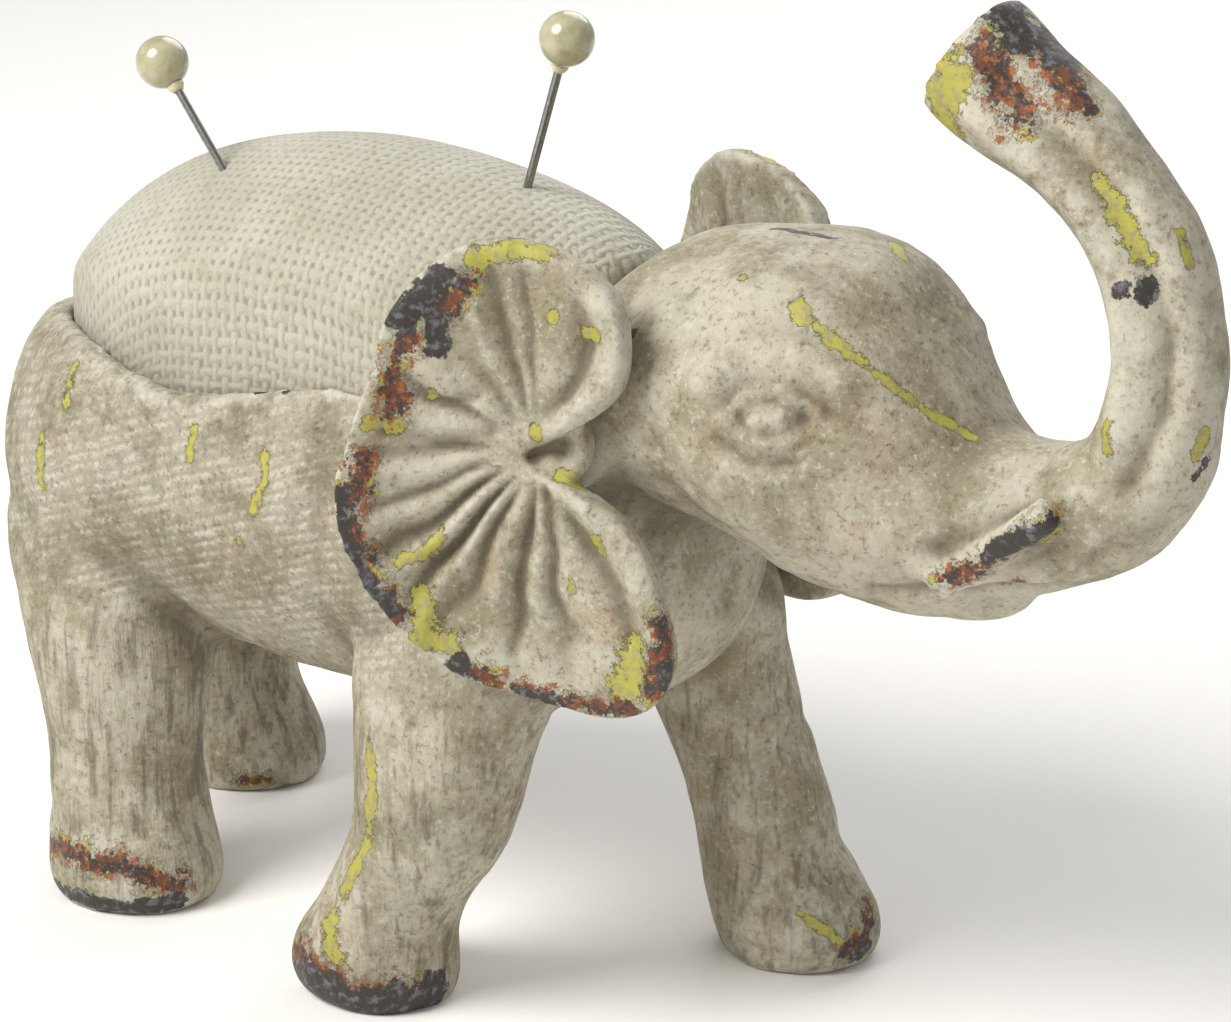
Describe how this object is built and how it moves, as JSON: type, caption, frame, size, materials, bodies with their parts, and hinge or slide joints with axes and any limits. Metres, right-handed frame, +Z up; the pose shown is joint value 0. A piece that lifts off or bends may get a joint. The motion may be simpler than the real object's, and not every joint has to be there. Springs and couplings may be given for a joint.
{
  "type": "elephant pincushion",
  "caption": "Painted cast elephant with raised trunk; a woven, stuffed cushion fills the hollow in its back and holds two pearl-headed pins that slide in and out.",
  "frame": {"origin": "bottom centre of the bounding box, on the plane of the four soles", "axes": "+X the way the elephant faces, +Y its left side, +Z up"},
  "size_m": [0.1656, 0.0722, 0.1183],
  "materials": {
    "distressed_paint": "matte",
    "woven_linen": "matte",
    "stuffing": "matte",
    "cotton_thread": "matte",
    "card": "matte",
    "hot_glue": "satin",
    "pin_steel": "satin",
    "pearl_coating": "gloss",
    "pin_glue": "gloss"
  },
  "bodies": {
    "elephant": {"elephant_casting": "distressed_paint", "right_ear": "distressed_paint", "left_ear": "distressed_paint", "cushion_board": "card", "cushion_filling": "stuffing", "cushion_cover": "woven_linen", "gathering_thread": "cotton_thread", "glue_beads": "hot_glue"},
    "rear_pin": {"rear_pin_shank": "pin_steel", "rear_pin_pearl": "pearl_coating", "rear_pin_collar": "pin_glue"},
    "front_pin": {"front_pin_shank": "pin_steel", "front_pin_pearl": "pearl_coating", "front_pin_collar": "pin_glue"}
  },
  "joints": [
    {"name": "rear_pin_slide", "type": "slide", "parent": "elephant", "child": "rear_pin", "axis": [-0.6388, 0, 0.7694], "range_m": [-0.0096, 0.03]},
    {"name": "front_pin_slide", "type": "slide", "parent": "elephant", "child": "front_pin", "axis": [0.3156, 0, 0.9489], "range_m": [-0.0134, 0.027]}
  ]
}
